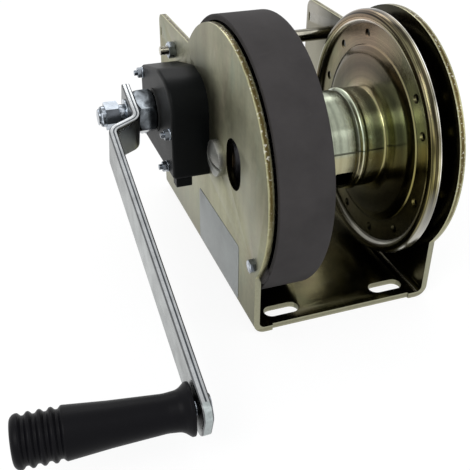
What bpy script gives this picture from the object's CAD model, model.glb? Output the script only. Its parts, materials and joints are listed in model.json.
"""Looks of the hand winch: rounded edges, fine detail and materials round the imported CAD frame."""

import json
import math

import bmesh
import bpy
from mathutils import Matrix, Vector

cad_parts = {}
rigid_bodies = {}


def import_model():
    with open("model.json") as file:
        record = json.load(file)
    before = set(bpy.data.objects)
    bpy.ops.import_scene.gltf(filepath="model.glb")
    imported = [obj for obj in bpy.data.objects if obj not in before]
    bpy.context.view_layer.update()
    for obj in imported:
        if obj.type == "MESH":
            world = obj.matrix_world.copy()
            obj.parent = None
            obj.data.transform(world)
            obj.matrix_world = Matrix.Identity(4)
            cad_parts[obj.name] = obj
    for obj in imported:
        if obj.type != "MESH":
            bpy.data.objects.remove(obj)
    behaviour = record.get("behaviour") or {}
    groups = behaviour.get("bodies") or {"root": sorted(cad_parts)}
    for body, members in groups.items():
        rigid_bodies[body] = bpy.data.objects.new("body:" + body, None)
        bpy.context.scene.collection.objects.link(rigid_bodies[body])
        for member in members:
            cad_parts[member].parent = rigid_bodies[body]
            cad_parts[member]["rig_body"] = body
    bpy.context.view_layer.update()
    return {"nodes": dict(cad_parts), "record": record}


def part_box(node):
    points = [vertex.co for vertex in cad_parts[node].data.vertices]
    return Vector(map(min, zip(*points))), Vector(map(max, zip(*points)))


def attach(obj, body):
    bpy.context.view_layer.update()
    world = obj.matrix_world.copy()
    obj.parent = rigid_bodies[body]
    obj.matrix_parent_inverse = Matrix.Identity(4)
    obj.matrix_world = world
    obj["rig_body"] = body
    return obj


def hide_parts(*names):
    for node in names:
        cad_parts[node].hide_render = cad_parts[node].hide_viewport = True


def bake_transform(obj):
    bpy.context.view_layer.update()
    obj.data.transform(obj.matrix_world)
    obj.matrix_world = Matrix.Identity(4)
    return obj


MM = 0.001  # lengths in this script are millimetres, and Blender's are metres

# Axes along X, as (y, z), and the grip's pin with its lean
DRUM = (-44.9, 118.498)
SHAFT = (36.068, 131.467)
TIE = (80.568, 167.567)
PIN = Vector((-161.0, -234.638, 45.594))
GRIP_LEAN = 4.7
CRANK_SLOPE = 17.6
GRIP_PLACE = Matrix.Translation(PIN * MM) @ Matrix.Rotation(math.radians(180 - GRIP_LEAN), 4, "Z")

# Frame: its sheet and the outer faces of the side plates
SHEET = 5.0
LEFT = -80.0
RIGHT = 80.0

# Brake housing: its outer face, and its screws as (y, z)
HOUSING_FACE = -112.0
SCREW_SPOTS = [
    (SHAFT[0] + y, SHAFT[1] + z) for y, z in ((37.5, 21.0), (-49.5, -1.5), (-38.0, -36.5), (38.5, -34.5))
]

# Gear cover
COVER_R = 111.0
COVER_SCREW_R = 97.4
COVER_SCREW_ANGLES = (213.5, 20.0)

# Small holes round the flanges, with angles from +Y towards +Z
HOLE_R = 3.75
HOLE_RING_R = 84.8
HOLE_ANGLES = (16.6, 46.0, 76.6, 137.6, 157.4, 196.6, 227.0, 257.0, 286.6, 316.6, 346.6)

# Range of Z for shades over the whole height
HEIGHT = (0.0, 220.0)

# Faces that meet at less than this are shaded as one, and edges sharper than this are rounded
SHADED_UNDER = math.radians(32.0)
ROUNDED_OVER = math.radians(40.0)

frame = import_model()
bodies = {n: o["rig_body"] for n, o in frame["nodes"].items()}


# Camera, solved from the photograph
def make_camera():
    eye = Vector((-256.29, -562.62, 396.81)) * MM
    right = Vector((0.94011, -0.34076, 0.00862))
    up = Vector((0.17816, 0.51277, 0.83984))
    data = bpy.data.cameras.new("camera")
    data.sensor_width = 36.0
    data.lens = 57.445
    data.clip_start = 0.02
    data.clip_end = 20.0
    cam = bpy.data.objects.new("camera", data)
    axes = Matrix((right, up, right.cross(up))).transposed()
    cam.matrix_world = Matrix.Translation(eye) @ axes.to_4x4()
    bpy.context.scene.collection.objects.link(cam)
    bpy.context.scene.camera = cam


make_camera()


# Shader building
class Shader:
    """A material, with short names for the nodes that the materials share."""

    def __init__(self, name, metallic=0.0, **fixed):
        self.mat = bpy.data.materials.new(name)
        self.mat.use_nodes = True
        self.tree = self.mat.node_tree
        self.tree.nodes.clear()
        out = self.add("ShaderNodeOutputMaterial")
        self.bsdf = self.add("ShaderNodeBsdfPrincipled")
        self.tree.links.new(self.bsdf.outputs[0], out.inputs[0])
        places = self.add("ShaderNodeTexCoord")
        self.coord, self.facing = places.outputs["Object"], places.outputs["Normal"]
        self.set("Metallic", metallic)
        for key, value in fixed.items():
            self.set(key.replace("_", " "), value)

    def add(self, kind):
        return self.tree.nodes.new(kind)

    def put(self, socket, value):
        if isinstance(value, bpy.types.NodeSocket):
            self.tree.links.new(value, socket)
        else:
            socket.default_value = value

    def set(self, name, value):
        self.put(self.bsdf.inputs[name], value)

    def place(self, stretch=(1, 1, 1), turn=(0, 0, 0), shift=(0, 0, 0)):
        node = self.add("ShaderNodeMapping")
        self.put(node.inputs["Vector"], self.coord)
        node.inputs["Scale"].default_value = stretch
        node.inputs["Rotation"].default_value = [math.radians(a) for a in turn]
        node.inputs["Location"].default_value = shift
        return node.outputs[0]

    def noise(self, scale, detail=4.0, rough=0.55, distort=0.0, vector=None, **where):
        node = self.add("ShaderNodeTexNoise")
        self.put(node.inputs["Vector"], vector or self.place(**where))
        node.inputs["Scale"].default_value = scale
        node.inputs["Detail"].default_value = detail
        node.inputs["Roughness"].default_value = rough
        node.inputs["Distortion"].default_value = distort
        return node.outputs["Fac"]

    def axis(self, name):
        """A coordinate in millimetres."""
        node = self.add("ShaderNodeSeparateXYZ")
        self.put(node.inputs[0], self.place((1000, 1000, 1000)))
        return node.outputs[name]

    def radius(self, centre):
        """Distance in millimetres from a line along X."""
        node = self.add("ShaderNodeVectorMath")
        node.operation = "LENGTH"
        self.put(node.inputs[0], self.place((0, 1000, 1000), shift=(0, -centre[0], -centre[1])))
        return node.outputs["Value"]

    def faces(self, name):
        """How far the surface faces along an axis, from -1 to 1."""
        node = self.add("ShaderNodeSeparateXYZ")
        self.put(node.inputs[0], self.facing)
        return node.outputs[name]

    def sheen(self, scale, shift=(0, 0, 0)):
        """Noise that changes with the way the surface faces, so each flat has its own tone."""
        node = self.add("ShaderNodeMapping")
        self.put(node.inputs["Vector"], self.facing)
        node.inputs["Location"].default_value = shift
        return self.noise(scale, 2.0, 0.5, vector=node.outputs[0])

    def turning(self, centre, scale, detail=3.0, rough=0.6):
        """Noise in rings round a line along X, like marks from a lathe."""
        node = self.add("ShaderNodeCombineXYZ")
        self.put(node.inputs[0], self.axis("X"))
        self.put(node.inputs[1], self.radius(centre))
        self.put(node.inputs[2], self.noise(14.0, 2.0))
        return self.noise(scale, detail, rough, vector=node.outputs[0])

    def span(self, value, low, high, *stops):
        """A ramp over the values between low and high."""
        node = self.add("ShaderNodeMapRange")
        self.put(node.inputs["Value"], value)
        node.inputs["From Min"].default_value = low
        node.inputs["From Max"].default_value = high
        return self.ramp(node.outputs[0], *[((at - low) / (high - low), level) for at, level in stops])

    def ramp(self, fac, *stops):
        node = self.add("ShaderNodeValToRGB")
        self.put(node.inputs["Fac"], fac)
        ramp = node.color_ramp
        while len(ramp.elements) < len(stops):
            ramp.elements.new(0.5)
        for element, (where, value) in zip(ramp.elements, stops):
            element.position = where
            rgb = (value,) * 3 if isinstance(value, (int, float)) else value
            element.color = (*rgb, 1.0)
        return node.outputs["Color"]

    def mix(self, fac, a, b, blend="MIX"):
        node = self.add("ShaderNodeMix")
        node.data_type = "RGBA"
        node.blend_type = blend
        self.put(node.inputs["Factor"], fac)
        for socket, value in zip([s for s in node.inputs if s.type == "RGBA"], (a, b)):
            self.put(socket, value if isinstance(value, bpy.types.NodeSocket) else (*value, 1.0))
        return next(s for s in node.outputs if s.type == "RGBA")

    def math(self, kind, a, b=0.0):
        node = self.add("ShaderNodeMath")
        node.operation = kind
        self.put(node.inputs[0], a)
        self.put(node.inputs[1], b)
        return node.outputs[0]

    def plus(self, a, b):
        return self.math("ADD", a, b)

    def product(self, a, b):
        return self.math("MULTIPLY", a, b)

    def centred(self, value, amount):
        """Noise moved to lie round 0, then scaled."""
        return self.product(self.math("SUBTRACT", value, 0.5), amount)

    def times(self, colour, factor):
        return self.mix(1.0, colour, factor, "MULTIPLY")

    def bump(self, height, distance, strength=1.0, base=None):
        node = self.add("ShaderNodeBump")
        node.inputs["Strength"].default_value = strength
        node.inputs["Distance"].default_value = distance
        self.put(node.inputs["Height"], height)
        if base is not None:
            self.put(node.inputs["Normal"], base)
        return node.outputs[0]

    def finish(self, colour, rough, normal):
        self.set("Base Color", colour)
        self.set("Roughness", rough)
        self.set("Normal", normal)
        return self.mat


# Materials
def scratches(s, scale, thin, **where):
    """Thin bright lines where a stretched noise passes its middle."""
    line = s.math("ABSOLUTE", s.math("SUBTRACT", s.noise(scale, 2.0, 0.5, **where), 0.5))
    return s.ramp(line, (0.0, 1.0), (thin, 0.0))


def zinc_yellow(name, dark, light, pink, green, rough, grain, shade=None):
    """Passivated zinc: cloudy, with pink and green casts. shade(s, colour) adds what follows the shape."""
    s = Shader(name, 1.0)
    broad = s.noise(9.0, 3.0, 0.5, 0.6, shift=(0.3, 0.1, 0.7))
    tint = s.noise(17.0, 3.0, 0.55, 1.2, shift=(1.3, 2.1, 0.2))
    fine = s.noise(230.0, 5.0, 0.65)
    streak = s.noise(60.0, 4.0, 0.6, 0.0, stretch=(0.25, 1.0, 0.12), turn=(12, 0, 0))
    colour = s.mix(s.ramp(broad, (0.3, 0.0), (0.7, 1.0)), dark, light)
    colour = s.mix(s.ramp(tint, (0.55, 0.0), (0.75, 0.75)), colour, pink)
    colour = s.mix(s.ramp(tint, (0.25, 0.7), (0.45, 0.0)), colour, green)
    colour = s.mix(s.ramp(fine, (0.35, 0.3), (0.65, 0.0)), colour, [c * 0.5 for c in dark])
    colour = s.mix(s.ramp(streak, (0.4, 0.0), (0.75, 0.3)), colour, [min(1, c * 1.5) for c in light])
    mark = scratches(s, 26.0, 0.012, stretch=(1.0, 1.0, 0.18), turn=(24, 0, 0))
    mark = s.product(mark, s.ramp(s.noise(7.0), (0.5, 0.0), (0.62, 0.12)))
    colour = s.mix(mark, colour, (0.55, 0.55, 0.50))
    if shade:
        colour = shade(s, colour)
    r = s.plus(s.product(fine, 0.16), rough - 0.08)
    r = s.plus(r, s.centred(streak, 0.06))
    n = s.bump(s.noise(420.0, 3.0, 0.6), 0.00012 * grain, 0.5)
    n = s.bump(s.noise(16.0, 2.0, 0.5), 0.0012, 0.05, n)
    return s.finish(colour, r, n)


def plate_shade(s, colour):
    """Darker tarnish beside the brake housing, in front, and along the bottom and the top."""
    wander = s.centred(s.noise(14.0, 2.0, 0.5), 14.0)
    housing = s.plus(s.radius((-2.0, 146.0)), wander)
    colour = s.times(colour, s.span(housing, 0.0, 90.0, (26.0, 0.42), (38.0, 0.7), (54.0, 1.12), (75.0, 1.3)))
    up = s.plus(s.axis("Z"), wander)
    colour = s.times(colour, s.span(
        up, *HEIGHT, (5.0, 0.62), (50.0, 0.9), (90.0, 1.15), (150.0, 1.0), (200.0, 0.8),
    ))
    return s.times(colour, s.span(s.axis("Y"), -150.0, 120.0, (-135.0, 0.75), (-70.0, 1.0), (60.0, 1.0)))


def drum_shade(s, colour):
    """Tinted patches, a dark dish, and a polished rim with dark and pale rings and a pale lip below."""
    r = s.radius(DRUM)
    wander = s.centred(s.noise(30.0, 3.0, 0.6), 50.0)
    for centre, reach, full, gone, share, tint in (
        ((-128.0, 118.0), 90.0, 18.0, 55.0, 0.85, (0.42, 0.36, 0.12)),
        ((-20.0, 205.0), 90.0, 20.0, 70.0, 0.7, (0.30, 0.20, 0.145)),
        ((-98.0, 142.0), 60.0, 8.0, 32.0, 0.8, (0.33, 0.335, 0.17)),
    ):
        away = s.plus(s.radius(centre), wander)
        colour = s.mix(s.span(away, 0.0, reach, (full, share), (gone, 0.0)), colour, tint)
    colour = s.times(colour, s.span(
        r, 38.0, 106.0, (40.0, 1.4), (45.0, 1.1), (50.0, 0.6), (60.0, 0.34), (70.0, 0.5), (74.8, 0.5),
        (75.4, 1.0), (76.4, 0.8), (84.0, 0.9), (92.5, 0.7), (94.0, 0.25), (96.5, 1.0),
    ))
    rim_range = (92.0, 106.0)
    rings = s.turning(DRUM, 0.3, 2.0, 0.5)
    rim = s.span(r, *rim_range, (93.5, 0.0), (96.0, 0.9))
    colour = s.mix(s.product(rim, s.ramp(rings, (0.4, 1.0), (0.5, 0.0))), colour, (0.026, 0.021, 0.012))
    colour = s.mix(s.product(rim, s.ramp(rings, (0.52, 0.0), (0.6, 1.0))), colour, (0.80, 0.78, 0.72))
    chrome = s.ramp(s.sheen(2.6, (3.0, 1.0, 2.0)), (0.36, 0.2), (0.46, 0.7), (0.54, 1.2), (0.62, 1.9))
    colour = s.mix(rim, colour, s.times(colour, chrome))
    below = s.span(s.axis("Z"), *HEIGHT, (70.0, 1.0), (120.0, 0.0))
    lip = s.product(s.span(r, *rim_range, (102.8, 0.0), (104.0, 0.8)), below)
    colour = s.mix(lip, colour, (0.86, 0.84, 0.76))
    fine = s.turning(DRUM, 1.4, 3.0, 0.6)
    colour = s.times(colour, s.ramp(fine, (0.3, 0.8), (0.7, 1.15)))
    return s.times(colour, s.span(s.axis("Z"), *HEIGHT, (20.0, 0.5), (90.0, 0.62), (140.0, 0.9), (200.0, 1.05)))


def barrel_shade(s, colour):
    """Broad bands of drawn metal, dark lines beside the ridge, a dark seam and a browner, darker underside."""
    bands = s.turning(DRUM, 0.11, 2.0, 0.5)
    colour = s.times(colour, s.ramp(bands, (0.36, 0.45), (0.5, 0.95), (0.62, 1.3)))
    colour = s.times(colour, s.span(
        s.axis("X"), -40.0, 60.0, (-30.0, 0.9), (22.0, 1.0), (23.4, 0.3), (27.0, 0.45), (28.6, 1.2), (31.5, 1.15),
        (33.0, 0.7), (36.0, 2.0), (48.0, 1.5),
    ))
    z, barrel_range = s.axis("Z"), (60.0, 170.0)
    colour = s.mix(s.span(z, *barrel_range, (122.0, 0.55), (126.5, 0.0)), colour, (0.44, 0.38, 0.20))
    seam = s.span(s.radius((-86.1, 126.0)), 0.0, 3.0, (0.5, 0.9), (1.1, 0.0))
    colour = s.mix(seam, colour, (0.03, 0.028, 0.018))
    return s.times(colour, s.span(z, *barrel_range, (74.0, 0.25), (95.0, 0.7), (115.0, 1.0)))


def inner_shade(s, colour):
    """The inner faces: a soft sheen across the base, a bright fold line, dark walls and a paler rear."""
    wander = s.centred(s.noise(16.0, 3.0, 0.6), 44.0)
    x, z = s.axis("X"), s.axis("Z")
    across, along, up = s.plus(x, wander), s.plus(s.axis("Y"), wander), s.plus(z, wander)
    colour = s.times(colour, s.span(
        across, LEFT, RIGHT, (-60.0, 0.5), (0.0, 1.6), (30.0, 2.0), (55.0, 1.0), (72.0, 0.6),
    ))
    colour = s.times(colour, s.span(along, -140.0, 40.0, (-128.0, 1.7), (-95.0, 1.0), (-20.0, 0.7)))
    fold_x = s.span(x, 60.0, 80.0, (68.8, 0.0), (70.2, 1.0), (71.8, 0.0))
    fold = s.product(fold_x, s.span(z, 0.0, 12.0, (7.0, 1.0), (9.0, 0.0)))
    colour = s.mix(fold, colour, (0.95, 0.90, 0.72))
    rear_range = (0.0, 140.0)
    colour = s.mix(s.span(along, *rear_range, (70.0, 0.0), (105.0, 0.8)), colour, (0.32, 0.30, 0.24))
    below = s.span(up, *HEIGHT, (120.0, 1.0), (165.0, 0.0))
    low_rear = s.product(s.span(along, *rear_range, (30.0, 0.0), (85.0, 0.85)), below)
    colour = s.mix(low_rear, colour, (0.48, 0.46, 0.35))
    return s.times(colour, s.span(up, *HEIGHT, (6.0, 1.0), (50.0, 0.8), (120.0, 0.6), (190.0, 1.1)))


def arm_shade(s, colour):
    """Duller and mottled at the bends, with a pale inner side there, and brighter along the arm."""
    colour = s.times(colour, s.ramp(s.noise(55.0, 2.0, 0.5), (0.35, 0.75), (0.65, 1.15)))
    away = s.radius(SHAFT)
    at_bends = s.span(away, 0.0, 100.0, (50.0, 0.9), (80.0, 0.0))
    inner = s.product(s.span(s.faces("X"), -1.0, 1.0, (0.2, 0.0), (0.5, 1.0)), at_bends)
    colour = s.mix(inner, colour, (0.85, 0.86, 0.84))
    return s.times(colour, s.span(
        away, 0.0, 300.0, (16.0, 0.5), (42.0, 0.6), (80.0, 0.85), (160.0, 1.1), (280.0, 0.85),
    ))


def hub_shade(s, colour):
    """Greasy patches on the nut that turns the brake."""
    return s.times(colour, s.ramp(s.noise(75.0, 3.0, 0.6, 0.5), (0.38, 0.35), (0.62, 1.5)))


def housing_shade(s, colour):
    """Dusty grey on the outer face, black on the sides."""
    face = s.span(s.axis("X"), -114.0, -106.0, (-112.2, 1.0), (-110.6, 0.0))
    high = s.span(s.axis("Z"), 90.0, 175.0, (110.0, 0.5), (160.0, 1.0))
    return s.mix(s.product(face, high), colour, (0.024, 0.024, 0.0235))


def zinc_bright(name, base, rough, lines=0.0, dull=0.82, size=70.0, shade=None):
    """Clear zinc: each flat has its own tone, down to dull, and lines sets how far it is brushed."""
    s = Shader(name, 1.0)
    tone = s.noise(size, 3.0, 0.55, 0.4)
    fine = s.noise(700.0, 4.0, 0.6)
    colour = s.mix(s.ramp(tone, (0.35, 0.0), (0.65, 1.0)), [c * max(dull, 0.6) for c in base], base)
    flats = s.ramp(s.sheen(2.2), (0.36, dull), (0.46, (1 + dull) / 2), (0.54, 1.0), (0.64, 2 - dull))
    colour = s.times(colour, flats)
    colour = s.mix(s.ramp(fine, (0.3, 0.4), (0.5, 0.0)), colour, [c * 0.4 for c in base])
    if shade:
        colour = shade(s, colour)
    brush = s.noise(90.0, 4.0, 0.6, 0.0, stretch=(1.0, 0.05, 1.0), turn=(-CRANK_SLOPE, 0, 0))
    r = s.plus(s.product(tone, 0.14), rough - 0.07)
    r = s.plus(r, s.centred(brush, lines))
    n = s.bump(brush, 0.0002 * lines, 1.0)
    return s.finish(colour, r, s.bump(fine, 0.00004, 0.6, n))


def cut_metal(name, base, axis, middle):
    """A sheared edge of sheet: a bright band along each side and a torn brown one between."""
    s = Shader(name, 1.0)
    torn = s.noise(520.0, 5.0, 0.7, 0.5)
    colour = s.mix(s.ramp(torn, (0.35, 0.0), (0.7, 1.0)), [c * 0.8 for c in base], base)
    away = s.math("ABSOLUTE", s.math("SUBTRACT", s.math("ABSOLUTE", s.axis(axis)), middle))
    away = s.plus(away, s.centred(s.noise(150.0, 3.0), 1.6))
    band = s.span(away, 0.0, 2.6, (0.4, (0.22, 0.17, 0.10)), (1.1, (0.4, 0.34, 0.24)), (1.8, 1.15), (2.5, 0.9))
    high = s.plus(s.axis("Z"), s.centred(s.noise(60.0, 3.0), 120.0))
    colour = s.mix(s.span(high, *HEIGHT, (70.0, 0.3), (130.0, 1.0)), colour, s.times(colour, band))
    speck = s.ramp(s.noise(520.0, 2.0), (0.6, 0.0), (0.68, 0.8))
    speck = s.product(speck, s.span(high, *HEIGHT, (90.0, 0.0), (140.0, 0.8)))
    colour = s.mix(speck, colour, (0.75, 0.74, 0.66))
    r = s.plus(s.product(torn, 0.3), 0.18)
    return s.finish(colour, r, s.bump(torn, 0.0002, 0.7))


def dark_steel(name, base, rough):
    """Ground steel or bronze with brown films of grease."""
    s = Shader(name, 1.0)
    tone = s.noise(55.0, 4.0, 0.6)
    fine = s.noise(600.0, 3.0)
    colour = s.mix(s.ramp(tone, (0.3, 0.0), (0.7, 1.0)), [c * 0.6 for c in base], base)
    colour = s.mix(s.ramp(s.noise(22.0), (0.55, 0.0), (0.75, 0.5)), colour, (0.16, 0.12, 0.07))
    r = s.plus(s.product(tone, 0.2), rough - 0.1)
    return s.finish(colour, r, s.bump(fine, 0.00008, 0.5))


def plastic(name, base, rough, grain=1.0, worn=None, specks=0.0, shade=None, **fixed):
    """Moulded plastic with a fine skin, dust in the colour worn, and scratches."""
    s = Shader(name, **fixed)
    tone = s.noise(35.0, 4.0, 0.6)
    skin = s.noise(1500.0, 2.0, 0.5)
    dust = s.noise(120.0, 6.0, 0.75)
    colour = s.mix(s.ramp(tone, (0.3, 0.0), (0.7, 1.0)), [c * 0.82 for c in base], [c * 1.12 for c in base])
    colour = s.mix(s.ramp(dust, (0.55, 0.0), (0.8, 0.2 + specks)), colour, worn or [c * 1.8 for c in base])
    mark = scratches(s, 40.0, 0.008, stretch=(0.3, 1.0, 1.0), turn=(35, 20, 0))
    mark = s.product(mark, s.ramp(s.noise(11.0), (0.5, 0.0), (0.65, 0.35)))
    colour = s.mix(mark, colour, [min(1, c * 1.6) for c in base])
    if shade:
        colour = shade(s, colour)
    r = s.plus(s.product(tone, 0.14), rough - 0.07)
    r = s.plus(r, s.product(mark, 0.15))
    return s.finish(colour, r, s.bump(skin, 0.00006 * grain, 0.6))


# Yellow zinc: dark, light, pink and green tones, roughness, grain and shade
PLATE_ZINC = zinc_yellow(
    "plate_zinc", (0.20, 0.195, 0.125), (0.31, 0.305, 0.215), (0.29, 0.245, 0.18), (0.23, 0.27, 0.20),
    0.44, 1.0, plate_shade,
)
INNER_ZINC = zinc_yellow(
    "inner_zinc", (0.034, 0.030, 0.013), (0.075, 0.068, 0.034), (0.062, 0.047, 0.026), (0.04, 0.05, 0.026),
    0.22, 0.8, inner_shade,
)
DRUM_ZINC = zinc_yellow(
    "drum_zinc", (0.15, 0.14, 0.065), (0.30, 0.28, 0.165), (0.30, 0.20, 0.15), (0.16, 0.22, 0.11),
    0.2, 0.5, drum_shade,
)
BARREL_ZINC = zinc_yellow(
    "barrel_zinc", (0.26, 0.28, 0.20), (0.44, 0.48, 0.38), (0.38, 0.35, 0.28), (0.30, 0.38, 0.30),
    0.2, 0.6, barrel_shade,
)
AXLE_ZINC = zinc_yellow(
    "axle_zinc", (0.23, 0.235, 0.215), (0.38, 0.385, 0.36), (0.33, 0.31, 0.285), (0.30, 0.325, 0.305), 0.42, 0.3,
)

# Sheared edges of the side plates and of the base, with the middle of their sheet
CUT_WALL = cut_metal("cut_wall", (0.42, 0.41, 0.245), "X", RIGHT - SHEET / 2)
CUT_BASE = cut_metal("cut_base", (0.34, 0.335, 0.235), "Z", SHEET / 2)

# Bright zinc: colour, roughness, brushing, dullest flat, size of clouds and shade
BRIGHT_ZINC = zinc_bright("bright_zinc", (0.40, 0.44, 0.49), 0.18, 0.0, 0.1, 120.0)
HUB_ZINC = zinc_bright("hub_zinc", (0.30, 0.33, 0.36), 0.2, 0.0, 0.1, 90.0, hub_shade)
ROD_ZINC = zinc_bright("rod_zinc", (0.42, 0.40, 0.33), 0.18, 0.0, 0.2)
ARM_ZINC = zinc_bright("arm_zinc", (0.34, 0.36, 0.355), 0.3, 0.16, 0.85, 50.0, arm_shade)
BEVEL_ZINC = zinc_bright("bevel_zinc", (0.15, 0.155, 0.16), 0.2, 0.05, 0.7)
SHEAR_ZINC = zinc_bright("shear_zinc", (0.54, 0.56, 0.57), 0.2, 0.05, 0.8)
TEAR_ZINC = zinc_bright("tear_zinc", (0.09, 0.10, 0.11), 0.34, 0.1, 0.6)
PALE_ZINC = zinc_bright("pale_zinc", (0.46, 0.51, 0.51), 0.3, 0.05, 0.8)

GEAR_STEEL = dark_steel("gear_steel", (0.20, 0.20, 0.21), 0.34)
BRONZE = dark_steel("bronze", (0.15, 0.105, 0.06), 0.4)

# Plastics: colour, roughness, grain, worn colour and specks of dust
COVER_PLASTIC = plastic(
    "cover_plastic", (0.044, 0.0405, 0.0405), 0.75, 0.8, (0.05, 0.046, 0.046), Specular_IOR_Level=0.12,
)
BLACK_PLASTIC = plastic(
    "black_plastic", (0.0022, 0.0028, 0.0030), 0.42, 1.4, (0.006, 0.006, 0.006), 0.1, housing_shade,
    Specular_IOR_Level=0.08,
)
GRIP_PLASTIC = plastic(
    "grip_plastic", (0.0018, 0.0017, 0.0028), 0.42, 1.8, (0.005, 0.005, 0.008), 0.1, Specular_IOR_Level=0.10,
)
LABEL_FILM = plastic("label_film", (0.27, 0.285, 0.28), 0.4, 0.6, (0.2, 0.2, 0.19), 0.1, Specular_IOR_Level=0.3)
LINING = plastic("lining", (0.07, 0.05, 0.035), 0.8, 6.0, (0.16, 0.13, 0.09), 0.4)
NYLON = plastic("nylon", (0.26, 0.31, 0.38), 0.42, 1.0)

FINISH = {
    "yellow_zinc": PLATE_ZINC, "bright_zinc": BRIGHT_ZINC, "satin_zinc": ARM_ZINC, "ground_steel": GEAR_STEEL,
    "bronze": BRONZE, "cover_plastic": COVER_PLASTIC, "black_plastic": BLACK_PLASTIC, "grip_plastic": GRIP_PLASTIC,
    "label_film": LABEL_FILM, "friction_lining": LINING, "nylon": NYLON,
}
SLOTS = {p["node"]: p["material_slot"] for p in frame["record"]["subparts"]}
SPECIAL = {
    "drum_barrel": BARREL_ZINC, "flange_left": DRUM_ZINC, "flange_right": DRUM_ZINC, "drum_axle": AXLE_ZINC,
    "tie_rod": ROD_ZINC, "tie_tube": ROD_ZINC, "drive_nut": HUB_ZINC,
}


def finish_of(node):
    return SPECIAL.get(node) or FINISH[SLOTS[node]]


for node_name, node_object in frame["nodes"].items():
    node_object.data.materials.clear()
    node_object.data.materials.append(finish_of(node_name))


# Mesh building, in millimetres, with angles in degrees
def cosd(angle):
    return math.cos(math.radians(angle))


def sind(angle):
    return math.sin(math.radians(angle))


def rolled(centre, r, angle, across=0.0):
    """A place (y, z) at radius r and an angle round an axis, from +Y towards +Z, moved sideways by across."""
    y = centre[0] + r * cosd(angle) - across * sind(angle)
    return y, centre[1] + r * sind(angle) + across * cosd(angle)


def from_axis(p, axis):
    return math.hypot(p.y - axis[0], p.z - axis[1])


def written(bm, mesh):
    bm.to_mesh(mesh)
    bm.free()
    return mesh


def new_mesh(name, verts, faces):
    mesh = bpy.data.meshes.new(name)
    mesh.from_pydata([[c * MM for c in v] for v in verts], [], faces)
    bm = bmesh.new()
    bm.from_mesh(mesh)
    bmesh.ops.recalc_face_normals(bm, faces=bm.faces)
    return written(bm, mesh)


def new_object(name, mesh):
    obj = bpy.data.objects.new(name, mesh)
    bpy.context.scene.collection.objects.link(obj)
    return obj


def cutter(name, verts, faces):
    """A shape without material, to cut others with or to build them from."""
    return new_object(name, new_mesh(name, verts, faces))


def merged(name, parts):
    """One mesh of several objects, which are removed."""
    bm = bmesh.new()
    for part in parts:
        bm.from_mesh(part.data)
        bpy.data.objects.remove(part)
    return written(bm, bpy.data.meshes.new(name))


def union_of(cutters):
    return new_object("cutters", merged("cutters", cutters))


def smooth(obj):
    mesh = obj.data
    mesh.polygons.foreach_set("use_smooth", [True] * len(mesh.polygons))
    mesh.set_sharp_from_angle(angle=SHADED_UNDER)
    return obj


def keep(node, mesh, material, body):
    """Put a mesh in a CAD node's place. The body is None for the spring, which is blended between two."""
    mesh.materials.clear()
    mesh.materials.append(material)
    obj = new_object(node + "_v", mesh)
    if body:
        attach(obj, body)
    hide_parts(node)
    return smooth(obj)


def new_piece(node, verts, faces, material, body):
    return keep(node, new_mesh(node + "_v", verts, faces), material, body)


def joined(node, parts, material, body):
    return keep(node, merged(node + "_v", parts), material, body)


def ring_points(x, r, n, centre, phase=0.0):
    y0, z0 = centre
    angles = [2 * math.pi * (i + phase) / n for i in range(n)]
    return [(x, y0 + r * math.cos(a), z0 + r * math.sin(a)) for a in angles]


def turned(profile, centre, n):
    """Vertices and faces of a closed (x, r) outline turned round an axis along X."""
    verts, faces, rows = [], [], []
    for x, r in profile:
        if r < 1e-6:
            rows.append([len(verts)] * n)
            verts.append((x, *centre))
        else:
            rows.append(list(range(len(verts), len(verts) + n)))
            verts += ring_points(x, r, n, centre)
    for a, b in zip(rows, rows[1:] + rows[:1]):
        for i in range(n):
            j = (i + 1) % n
            loop = list(dict.fromkeys((a[i], a[j], b[j], b[i])))
            if len(loop) > 2:
                faces.append(loop)
    return verts, faces


def turned_cutter(name, profile, centre, n):
    return cutter(name, *turned(profile, centre, n))


def bar(x0, x1, r):
    """The outline of a plain cylinder."""
    return [(x0, r), (x1, r), (x1, 0), (x0, 0)]


def skin(rings, lids=True):
    """Vertices and faces of a tube over rings of equally many points, with flat ends if lids is set."""
    n = len(rings[0])
    faces = [
        (i * n + k, i * n + (k + 1) % n, (i + 1) * n + (k + 1) % n, (i + 1) * n + k)
        for i in range(len(rings) - 1) for k in range(n)
    ]
    if lids:
        faces += [tuple(range(n - 1, -1, -1)), tuple(range((len(rings) - 1) * n, len(rings) * n))]
    return [v for ring in rings for v in ring], faces


def prism(name, rings):
    return cutter(name, *skin(rings))


def box_cutter(name, x0, x1, low, high, angle):
    """A box along X between two corners (radius, across), turned round the drum's axis by an angle."""
    (r0, w0), (r1, w1) = low, high
    corners = ((r0, w0), (r1, w0), (r1, w1), (r0, w1))
    return prism(name, [[(x, *rolled(DRUM, r, angle, w)) for r, w in corners] for x in (x0, x1)])


def arc_corners(points, closed=True, steps=6):
    """Corners (x, y, radius) turned into points, with an arc at each corner that has a radius."""
    out = []
    n = len(points)
    for i, (x, y, r) in enumerate(points):
        p = Vector((x, y))
        if r <= 0 or (not closed and i in (0, n - 1)):
            out.append(p)
            continue
        a = (p - Vector(points[i - 1][:2])).normalized()
        b = (Vector(points[(i + 1) % n][:2]) - p).normalized()
        turn = math.atan2(a.x * b.y - a.y * b.x, a.dot(b))
        if abs(turn) < 1e-4:
            out.append(p)
            continue
        reach = r * math.tan(abs(turn) / 2)
        side = Vector((-a.y, a.x)) * math.copysign(r, turn)
        mid = p - a * reach + side
        for k in range(steps + 1):
            out.append(mid + Matrix.Rotation(turn * k / steps, 2) @ (-side))
    return out


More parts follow.
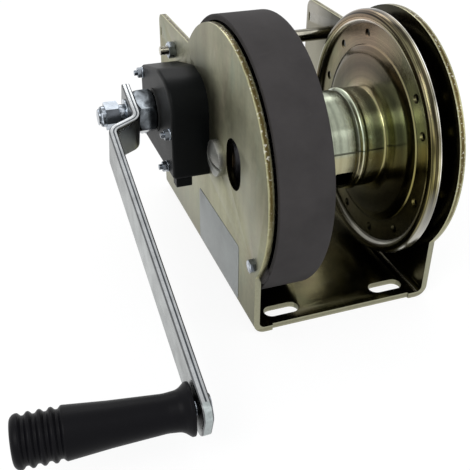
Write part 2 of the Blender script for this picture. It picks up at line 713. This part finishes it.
def offset_path(path, d):
    """An open path moved to its left by d."""
    out = []
    for i, p in enumerate(path):
        a = (p - path[i - 1]).normalized() if i else (path[1] - p).normalized()
        b = (path[i + 1] - p).normalized() if i < len(path) - 1 else a
        na, nb = Vector((-a.y, a.x)), Vector((-b.y, b.x))
        out.append(p + (na + nb) * (d / (1 + na.dot(nb))))
    return out


def inset_ring(points, d):
    """A closed outline, drawn anticlockwise, moved inwards by d."""
    return offset_path([points[-1]] + points + [points[0]], d)[1:-1]


def copied(node):
    """A clean copy of a CAD node's mesh: shared corners joined and flat faces whole."""
    bm = bmesh.new()
    bm.from_mesh(frame["nodes"][node].data)
    bmesh.ops.remove_doubles(bm, verts=bm.verts, dist=2e-6)
    bmesh.ops.dissolve_limit(
        bm, angle_limit=math.radians(0.3), use_dissolve_boundaries=False, verts=bm.verts, edges=bm.edges
    )
    bmesh.ops.recalc_face_normals(bm, faces=bm.faces)
    return bm


def corner_edges(bm, where=None):
    """The sharp edges, or those for which where(middle, edge) holds."""
    picked = []
    for e in bm.edges:
        if len(e.link_faces) == 2 and ROUNDED_OVER < e.calc_face_angle(0.0) < math.pi:
            if where is None or where((e.verts[0].co + e.verts[1].co) / (2 * MM), e):
                picked.append(e)
    return picked


def round_edges(bm, edges, width, segments=2):
    bmesh.ops.bevel(
        bm, geom=edges, offset=width * MM, offset_type="OFFSET", segments=segments, profile=0.5,
        affect="EDGES", clamp_overlap=True, loop_slide=True, material=-1,
    )


def softened(node, width, where=None, material=None):
    """A copy of a CAD node with its sharp edges rounded, in the node's place."""
    bm = copied(node)
    round_edges(bm, corner_edges(bm, where), width)
    mesh = written(bm, bpy.data.meshes.new(node + "_v"))
    return keep(node, mesh, material or finish_of(node), bodies[node])


def carve(obj, cutters, operation="DIFFERENCE"):
    for c in cutters:
        m = obj.modifiers.new("cut", "BOOLEAN")
        m.operation, m.solver, m.object = operation, "EXACT", c
    bpy.context.view_layer.update()
    made = bpy.data.meshes.new_from_object(obj.evaluated_get(bpy.context.evaluated_depsgraph_get()))
    obj.modifiers.clear()
    old = obj.data
    obj.data = made
    bpy.data.meshes.remove(old)
    for c in cutters:
        bpy.data.objects.remove(c)
    return smooth(obj)


def thread_groove(x0, x1, centre, r, pitch, depth, steps=24):
    """A V-shaped helix that cuts a thread into a rod along X."""
    way = 1 if x1 > x0 else -1
    half, clear = pitch * 0.46, 0.3
    rings = []
    for i in range(int(abs(x1 - x0) / pitch * steps) + 1):
        a = 2 * math.pi * i / steps
        x = x0 + way * pitch * i / steps
        rings.append([
            (x + dx, centre[0] + rr * math.cos(a), centre[1] + rr * math.sin(a))
            for dx, rr in ((-half, r + clear), (0.0, r - depth), (half, r + clear))
        ])
    return prism("groove", rings)


def nut_shape(x0, x1, af, hole, centre, phase, flat=False):
    """A hexagon of width af, chamfered at both ends unless x0 stays flat, and bored unless hole is 0."""
    nut = prism("nut", [ring_points(x, af / 2 / cosd(30), 6, centre, phase) for x in (x0, x1)])
    way = 1 if x1 > x0 else -1
    r_out, r_flat, clear = af / 2 / cosd(30) + 0.5, af / 2 * 0.97, 0.001
    drop = (r_out - r_flat) * math.tan(math.radians(30))
    start = [(x0 - way, r_out)] * 2 if flat else [(x0, r_flat), (x0 + way * drop, r_out)]
    end = [(x1 - way * drop, r_out), (x1, r_flat)]
    middle = [(x1 + way * clear, 0), (x0 - way * clear, 0)]
    carve(nut, [turned_cutter("bevel", [start[1], *end, *middle, start[0]], centre, 96)], "INTERSECT")
    if hole:
        lead = 0.5
        wide = hole + lead + 1.0
        bore = [
            (x0 - way, wide), (x0 + way * lead, hole), (x1 - way * lead, hole), (x1 + way, wide),
            (x1 + way, 0), (x0 - way, 0),
        ]
        carve(nut, [turned_cutter("bore", bore, centre, 64)])
    return nut


# Side plates and base, with darker inner faces and sheared edges in a torn finish
def build_frame():
    bm = copied("frame")

    def in_notch(p, e):
        """The inner corners of the two notches in the front edge."""
        upright = abs(e.verts[0].co.z - e.verts[1].co.z) > 4 * MM
        return upright and p.y < -127 and abs(abs(p.x) - 63) < 0.5

    round_edges(bm, corner_edges(bm, in_notch), 0.98, 5)
    round_edges(bm, corner_edges(bm), 0.4)
    obj = keep("frame", written(bm, bpy.data.meshes.new("frame_v")), PLATE_ZINC, "frame_body")
    for extra in (INNER_ZINC, CUT_WALL, CUT_BASE):
        obj.data.materials.append(extra)
    inside = RIGHT - SHEET
    for p in obj.data.polygons:
        c, n = p.center / MM, p.normal
        wall_edge = abs(c.x) > inside + 0.2 and abs(n.x) < 0.6
        inner_wall = abs(c.x) < inside + 0.05 and c.x * n.x < 0 and abs(n.x) > 0.5 and c.z > SHEET + 0.3
        inner_base = abs(c.x) < inside - 1 and n.z > 0.5 and SHEET - 0.1 < c.z < SHEET + 3
        drum_hole = wall_edge and from_axis(c, DRUM) < 100 and c.z > 12
        if inner_wall or inner_base or drum_hole:
            p.material_index = 1
        elif wall_edge and c.z > 8:
            p.material_index = 2
        elif c.z < 9 and abs(n.z) < 0.6 and abs(n.x) < 0.8:
            p.material_index = 3


# Drum flanges: pressed sheet with a shallow dish, a flat ring with holes and a rolled rim
def flange_outline():
    """The sheet's section as (u, radius), with u running from the winding space outwards."""
    cove = [(-7 + 4.4 * sind(a), 49.37 - 9.5 * cosd(a), 0) for a in range(0, 91, 5)]
    shoulder = [(-2.6 * cosd(a), 67.0 + 8.5 * a / 90, 0) for a in range(0, 86, 5)]
    rim = [(1.5 - 5.5 * sind(a), 99.3 + 5.5 * cosd(a), 0) for a in range(165, -1, -5)]
    path = [(-19.0, 39.87, 0)] + cove + shoulder + [(0.0, 75.5, 0.4), (1.0, 76.5, 0.5), (1.0, 93.8, 0.5)] + rim
    outer = arc_corners(path + [(5.0, 104.8, 0)], closed=False)
    inner = [Vector((p.y, p.x)) for p in offset_path([Vector((p.y, p.x)) for p in outer], 2.5)]
    edge = [Vector(p) for p in ((4.5, 104.8), (5.0, 104.3), (5.0, 102.8), (4.5, 102.3))]
    return outer[:-1] + edge + inner[-2::-1]


def build_flange(node, face, way):
    outline = [(face + way * p.x, p.y) for p in flange_outline()]
    obj = new_piece(node, *turned(outline, DRUM, 240), DRUM_ZINC, "drum")
    punch = bar(face - way * 4, face + way * 8, HOLE_R)
    holes = [turned_cutter("hole", punch, rolled(DRUM, HOLE_RING_R, angle), 40) for angle in HOLE_ANGLES]
    carve(obj, [union_of(holes)])


# Drum barrel: a rolled tube with a ridge round it, a seam along it and a hole for the rope's end
def build_barrel():
    low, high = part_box("drum_barrel")
    x0, x1 = low.x / MM, high.x / MM
    ridge = x1 - 21.4
    outline = arc_corners([
        (x0, 39.9, 0), (x0, 41.9, 0.4), (ridge - 4.5, 41.9, 1.2), (ridge - 3.8, 41.2, 1.0), (ridge - 0.7, 41.2, 1.0),
        (ridge + 1.5, 43.4, 1.6), (ridge + 3.9, 43.4, 1.8), (ridge + 6.4, 42.4, 2.0), (x1 - 0.9, 42.4, 0.6),
        (x1, 41.5, 0.3), (x1, 39.9, 0),
    ])
    obj = new_piece("drum_barrel", *turned(outline, DRUM, 240), BARREL_ZINC, "drum")
    seam = box_cutter("seam", x0 - 1, x1 + 1, (41.15, -0.4), (46.0, 0.4), 169.7)
    corners = arc_corners([(6.3, -8.5, 2.0), (22.3, -8.5, 2.0), (22.3, 8.5, 2.0), (6.3, 8.5, 2.0)])
    rope_hole = [[(c.x, *rolled(DRUM, depth, -154, c.y)) for c in corners] for depth in (30.0, 60.0)]
    carve(obj, [seam, prism("rope_hole", rope_hole)])


# Gear cover: the CAD shell with its edges rounded, and a turned-in lip beside the side plate
def build_cover():
    obj = softened("gear_cover", 0.5, lambda p, e: abs(from_axis(p, DRUM) - COVER_R) < 1.3)
    x0, x1, depth = -73.2, -71.4, 3.6
    lip = turned_cutter("lip", arc_corners([
        (x0, COVER_R, 0), (x0, COVER_R - depth, 0.4), (x1, COVER_R - depth, 0.4), (x1, COVER_R, 0),
    ]), DRUM, 192)
    low = box_cutter("low", -75.0, -70.0, (58.5, -130.0), (130.0, 130.0), -90.0)
    carve(obj, [carve(lip, [low])], "UNION")


# Brake housing: a moulding with a rounded face, a raised collar and a block below
def housing_ring(outline, x, d):
    return [(x, SHAFT[0] + p.x, SHAFT[1] + p.y) for p in inset_ring(outline, d)]


def build_housing():
    face, wall, corner = HOUSING_FACE, 2.5, 3.0
    outline = arc_corners([
        (-56.5, -42.0, 4.0), (45.5, -42.0, 6.0), (45.5, 25.5, 7.0), (-14.5, 42.5, 30.0), (-56.5, 38.5, 28.0)
    ], steps=16)
    rounding = [(face + corner * (1 - sind(a)), corner * (1 - cosd(a))) for a in range(0, 91, 10)]
    levels = [(LEFT, 0.0)] + rounding + [(face, corner + 0.4)]
    obj = prism("housing", [housing_ring(outline, x, d) for x, d in levels])
    carve(obj, [prism("room", [housing_ring(outline, x, wall) for x in (LEFT + 1, face + wall)])])
    collar = arc_corners([(face + 0.3, 0, 0), (face + 0.3, 19.0, 0), (face - 1.2, 19.0, 0.5), (face - 1.2, 0, 0)])
    added = [turned_cutter("collar", collar, SHAFT, 96)]
    added += [turned_cutter("boss", bar(LEFT, face + 1.2, 5.2), spot, 48) for spot in SCREW_SPOTS]
    block = arc_corners([(-54.0, -50.5, 1.2), (-44.0, -50.5, 1.2), (-44.0, -40.7, 0), (-54.0, -40.7, 0)])
    levels = ((-95.0, 0.5), (-95.5, 0.0), (-108.5, 0.0), (-109.0, 0.5))
    added.append(prism("block", [housing_ring(block, x, d) for x, d in levels]))
    for extra in added:
        carve(obj, [extra], "UNION")
    hub = arc_corners([
        (-120, 16.6, 0), (-113.2, 16.6, 0), (-112.7, 16.0, 0.3), (-100, 16.0, 0), (-100, 0, 0), (-120, 0, 0),
    ])
    carve(obj, [turned_cutter("hub", hub, SHAFT, 96)])
    bores = [turned_cutter("bore", bar(-76, -118, 2.55), spot, 32) for spot in SCREW_SPOTS]
    carve(obj, [union_of(bores)])
    joined("brake_housing", [obj], BLACK_PLASTIC, "frame_body")


# Crank arm: a flat bar with rounded corners, swept through its two bends
def build_arm():
    # Stations along the bar as (distance from the shaft, half width), with the height of its middle
    near, far, half_width = 53.5, 77.5, 17.0
    path = arc_corners(
        [(-20.0, near, 0), (24.0, near, 8.5), (35.0, far, 8.5), (300.0, far, 0)], closed=False, steps=10
    )
    tail = [(-20.0 + 2.0 * (1 - cosd(a)), half_width - 2.0 + 2.0 * sind(a)) for a in range(0, 91, 15)]
    nose = [(290.0 + 10.0 * sind(a), half_width - 10.0 + 10.0 * cosd(a)) for a in range(0, 91, 6)]
    stations = tail + [(p.x, half_width) for p in path[1:-1]] + nose
    lift = [near] * len(tail) + [p.y for p in path[1:-1]] + [far] * len(nose)
    ways = [0.0] * len(stations)
    for i in range(len(tail), len(stations) - len(nose)):
        a = Vector((stations[i][0] - stations[i - 1][0], lift[i] - lift[i - 1])).normalized()
        b = Vector((stations[i + 1][0] - stations[i][0], lift[i + 1] - lift[i])).normalized()
        ways[i] = math.atan2(*reversed((a + b)))

    # Rings round the bar's outline, from its inner to its outer side, as (inset, height)
    n = len(stations)
    outline = [Vector((s, -w)) for s, w in stations] + [Vector((s, w)) for s, w in reversed(stations)]
    order = list(range(n)) + list(range(n - 1, -1, -1))
    corner, half = 1.1, 3.5
    arc = [(corner * (1 - cosd(a)), half - corner + corner * sind(a)) for a in (0, 22.5, 45, 67.5, 90)]
    lower = [(corner + 0.5, -half)] + [(d, -h) for d, h in reversed(arc)]
    levels = lower + [(0, -1.0), (0, 0.2)] + arc + [(corner + 0.5, half)]
    cosine, sine = cosd(CRANK_SLOPE), sind(CRANK_SLOPE)
    rings = []
    for d, h in levels:
        ring = []
        for i, q in zip(order, inset_ring(outline, d)):
            s, out = q.x - h * math.sin(ways[i]), lift[i] + h * math.cos(ways[i])
            ring.append((LEFT - out, SHAFT[0] - s * cosine - q.y * sine, SHAFT[1] - s * sine + q.y * cosine))
        rings.append(ring)
    verts, faces = skin(rings, lids=False)
    around = len(faces)
    for start in (0, around):
        faces += [[start + k for k in (i, i + 1, 2 * n - 2 - i, 2 * n - 1 - i)] for i in range(n - 1)]
    obj = cutter("crank_arm_v", verts, faces)

    # Flats, dark bevels, and sides with a torn strip between two sheared ones, pale round the end
    for finish in (ARM_ZINC, BEVEL_ZINC, SHEAR_ZINC, TEAR_ZINC, PALE_ZINC):
        obj.data.materials.append(finish)
    strips = [0, 1, 1, 1, 1, 2, 3, 2, 1, 1, 1, 1, 0]
    for f, p in enumerate(obj.data.polygons):
        strip = strips[f // (2 * n)] if f < around else 0
        p.material_index = 4 if strip > 1 and from_axis(p.center / MM, SHAFT) > 291 else strip
    bore = turned_cutter("bore", bar(-128, -140, 8.03), SHAFT, 64)
    pin = turned_cutter("pin", bar(-12, 4, 5.03), (0, 0), 48)
    pin.data.transform(GRIP_PLACE)
    carve(obj, [bore, pin])
    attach(obj, "crank")
    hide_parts("crank_arm")


def threaded(node, grooves, tip, material=None):
    """A CAD rod with rounded ends and the given thread grooves."""
    carve(softened(node, tip, material=material), [union_of([thread_groove(*g) for g in grooves])])


def build_fasteners():
    # Crank shaft's threaded end and lock nut
    threaded("pinion_shaft", [(-162.2, -144.5, SHAFT, 7.0, 2.0, 1.1)], 0.5, BRIGHT_ZINC)
    nut = nut_shape(-156.0, -144.0, 21.0, 7.03, SHAFT, 0.2, flat=True)
    joined("crank_nut", [nut], BRIGHT_ZINC, "crank")
    dome = arc_corners([
        (-160.0, 7.4, 0.2), (-160.0, 8.0, 0.4), (-158.6, 9.0, 1.2), (-156.0, 9.0, 0), (-156.0, 7.03, 0),
        (-159.6, 7.03, 0),
    ])
    new_piece("nut_insert", *turned(dome, SHAFT, 72), BRIGHT_ZINC, "crank")

    # Tie rod
    grooves = [(side * 93.7, side * 85.4, TIE, 4.0, 1.25, 0.68) for side in (-1, 1)]
    threaded("tie_rod", grooves, 0.6)
    nuts = [
        nut_shape(LEFT, LEFT - 6.4, 13.0, 4.03, TIE, 0.3),
        nut_shape(RIGHT, RIGHT + 6.4, 13.0, 4.03, TIE, 0.1),
    ]
    joined("tie_nuts", nuts, BRIGHT_ZINC, "frame_body")

    # Axle nut
    nut = nut_shape(83.0, 95.8, 24.0, 8.03, DRUM, 0.15)
    joined("axle_nut", [nut], BRIGHT_ZINC, "frame_body")

    # Housing screws: nut, washer, a threaded stub and a shank each
    parts = []
    x, r = HOUSING_FACE, 2.5
    washer = arc_corners([(x, 0, 0), (x, 5.0, 0.15), (x - 1.0, 5.0, 0.3), (x - 1.0, 0, 0)])
    stub = arc_corners([(x - 1.0, 0, 0), (x - 1.0, r, 0), (x - 8.0, r, 0.5), (x - 8.0, 0, 0)])
    for i, spot in enumerate(SCREW_SPOTS):
        parts.append(nut_shape(x - 1.0, x - 5.0, 8.0, 0, spot, 0.13 * i, flat=True))
        parts.append(turned_cutter("washer", washer, spot, 48))
        groove = thread_groove(x - 7.6, x - 4.4, spot, r, 0.8, 0.42, 20)
        parts.append(carve(turned_cutter("rod", stub, spot, 48), [groove]))
        parts.append(turned_cutter("shank", bar(x + 0.01, LEFT + SHEET, r), spot, 32))
    joined("housing_screws", parts, BRIGHT_ZINC, "frame_body")

    # Cover screws: head and threaded shank each
    parts = []
    shank = [(LEFT - 0.5, 0), (LEFT - 0.5, 3.0), (LEFT + 13.6, 3.0), (LEFT + 14.0, 2.6), (LEFT + 14.0, 0)]
    for i, angle in enumerate(COVER_SCREW_ANGLES):
        spot = rolled(DRUM, COVER_SCREW_R, angle)
        parts.append(nut_shape(LEFT, LEFT - 4.0, 10.0, 0, spot, 0.2 + 0.3 * i, flat=True))
        groove = thread_groove(LEFT + 13.6, LEFT + 9.0, spot, 3.0, 1.0, 0.5, 20)
        parts.append(carve(turned_cutter("shank", shank, spot, 48), [groove]))
    joined("cover_screws", parts, BRIGHT_ZINC, "frame_body")


# Grip, turned round its leaning pin
def build_grip():
    start, end, pocket, hole, wide = 2.4, 113.4, 99.1, 5.05, 17.0
    middles = [end - 8.0 - 6.8 * i for i in (3, 2, 1, 0)]
    grooves = [
        (mid + dx, r, bend) for mid in middles
        for dx, r, bend in ((-2.7, wide, 1.7), (-0.8, 15.0, 1.0), (0.8, 15.0, 1.0), (2.7, wide, 1.7))
    ]
    body = [
        (start, hole, 0), (start, 17.5, 0.9), (start + 2.4, 17.5, 1.2), (start + 7.5, 13.4, 9.0),
        (start + 17.0, 12.5, 26.0), (start + 52.0, 14.6, 60.0), (middles[0] - 3.4, wide, 2.4),
    ] + grooves + [(end - 0.4, wide, 4.6), (end, 12.0, 1.0), (end, 8.3, 0.3), (pocket, 8.3, 0), (pocket, hole, 0)]
    cap = [(end - 6, 0, 0), (end - 6, 8.25, 0), (end - 0.5, 8.25, 0.6), (end - 0.7, 6.5, 0.5), (end - 0.7, 0, 0)]
    for node, outline, steps, n in (("handle_grip", body, 8, 144), ("grip_cap", cap, 6, 72)):
        verts, faces = turned(arc_corners(outline, steps=steps), (0, 0), n)
        new_piece(node, verts, faces, GRIP_PLASTIC, "grip").data.transform(GRIP_PLACE)


# Pawl spring: a finer wire than the solid, with a straight piece at each end
def build_spring():
    low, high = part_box("pawl_spring")
    cx, cy = (low.x + high.x) / 2 / MM, (low.y + high.y) / 2 / MM
    z0, z1 = low.z / MM, high.z / MM
    turns, steps, r, wire, n, straight, inset = 9, 24, 2.4, 0.45, 12, 1.5, 0.05
    path = [Vector((cx + r, cy, z0 + inset))]
    for i in range(turns * steps + 1):
        a = 2 * math.pi * i / steps
        z = z0 + straight + (z1 - z0 - 2 * straight) * i / (turns * steps)
        path.append(Vector((cx + r * math.cos(a), cy + r * math.sin(a), z)))
    path.append(Vector((cx + r, cy, z1 - inset)))
    spokes = [(cosd(360 * k / n), sind(360 * k / n)) for k in range(n)]
    rings = []
    for i, p in enumerate(path):
        d = (path[min(i + 1, len(path) - 1)] - path[max(i - 1, 0)]).normalized()
        side = d.cross(Vector((p.x - cx, p.y - cy, 0.001))).normalized()
        other = d.cross(side)
        rings.append([p + wire * (c * side + s * other) for c, s in spokes])
    obj = new_piece("pawl_spring", *skin(rings), BRIGHT_ZINC, None)
    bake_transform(obj)


build_frame()
build_flange("flange_right", 56.0, 1)
build_flange("flange_left", -36.0, -1)
build_barrel()
build_cover()
build_housing()
build_arm()
build_fasteners()
build_grip()
build_spring()

# Small parts that only need rounded edges, with the width of the rounding
for plain, width in (
    ("drum_axle", 0.4), ("axle_washer", 0.3), ("crank_washer", 0.3), ("crank_sleeve", 0.3), ("drive_nut", 0.35),
    ("bearing_bush", 0.4), ("tie_tube", 0.3), ("grip_pin", 0.8), ("grip_washer", 0.25), ("label_plate", 0.12),
    ("bracket_posts", 0.4), ("cover_nuts", 0.3),
):
    softened(plain, width)


# Floor, backdrop and light
def seen_directly(tree):
    """1 for the rays that show the background: straight from the camera, mirrored or let through."""
    path = tree.nodes.new("ShaderNodeLightPath")
    top = path.outputs["Is Camera Ray"]
    for other in ("Is Glossy Ray", "Is Transmission Ray"):
        node = tree.nodes.new("ShaderNodeMath")
        node.operation = "MAXIMUM"
        tree.links.new(top, node.inputs[0])
        tree.links.new(path.outputs[other], node.inputs[1])
        top = node.outputs[0]
    return top


def mixed_by_view(tree, output, lit, shown, share):
    """Send lit to the output, and where the background is seen put the given share of shown over it."""
    out, mix, fac = (tree.nodes.new(kind) for kind in (output, "ShaderNodeMixShader", "ShaderNodeMath"))
    fac.operation = "MULTIPLY"
    fac.inputs[1].default_value = share
    tree.links.new(seen_directly(tree), fac.inputs[0])
    for source, socket in ((fac, mix.inputs[0]), (lit, mix.inputs[1]), (shown, mix.inputs[2]), (mix, out.inputs[0])):
        tree.links.new(source.outputs[0], socket)


def build_world():
    world = bpy.data.worlds.new("studio")
    bpy.context.scene.world = world
    world.use_nodes = True
    tree = world.node_tree
    tree.nodes.clear()
    soft, plain = tree.nodes.new("ShaderNodeBackground"), tree.nodes.new("ShaderNodeBackground")
    soft.inputs["Color"].default_value = (0.96, 0.98, 1.0, 1.0)
    soft.inputs["Strength"].default_value = 0.8
    plain.inputs["Color"].default_value = (1.0, 1.0, 1.0, 1.0)
    plain.inputs["Strength"].default_value = 1.0
    mixed_by_view(tree, "ShaderNodeOutputWorld", soft, plain, 1.0)


def build_floor():
    mat = bpy.data.materials.new("floor")
    mat.use_nodes = True
    tree = mat.node_tree
    tree.nodes.clear()
    matte, glow = tree.nodes.new("ShaderNodeBsdfDiffuse"), tree.nodes.new("ShaderNodeEmission")
    matte.inputs["Color"].default_value = (0.88, 0.88, 0.88, 1.0)
    glow.inputs["Strength"].default_value = 1.05
    mixed_by_view(tree, "ShaderNodeOutputMaterial", matte, glow, 0.82)
    mesh = bpy.data.meshes.new("floor")
    size, drop = 6.0, -0.0002
    corners = [(x * size, y * size, drop) for x, y in ((-1, -1), (1, -1), (1, 1), (-1, 1))]
    mesh.from_pydata(corners, [], [(0, 1, 2, 3)])
    mesh.materials.append(mat)
    new_object("floor", mesh)


def area_light(name, place, size, power, colour):
    """A light in metres and watts, turned to the middle of the winch."""
    data = bpy.data.lights.new(name, "AREA")
    data.shape, data.size, data.size_y = "RECTANGLE", size[0], size[1]
    data.energy, data.color = power, colour
    obj = new_object(name, data)
    obj.location = place
    obj.rotation_mode = "QUATERNION"
    obj.rotation_quaternion = (Vector((0, 0, 0.1)) - Vector(place)).to_track_quat("-Z", "Y")


build_world()
build_floor()
area_light("key", (-1.1, -0.9, 1.5), (0.9, 0.9), 11.0, (1.0, 0.99, 0.97))
area_light("fill", (1.3, -1.2, 0.9), (1.0, 1.0), 4.0, (0.97, 0.98, 1.0))
area_light("back", (0.3, 1.3, 1.4), (1.2, 0.6), 5.0, (1.0, 1.0, 1.0))

bpy.context.scene.view_settings.view_transform = "Standard"
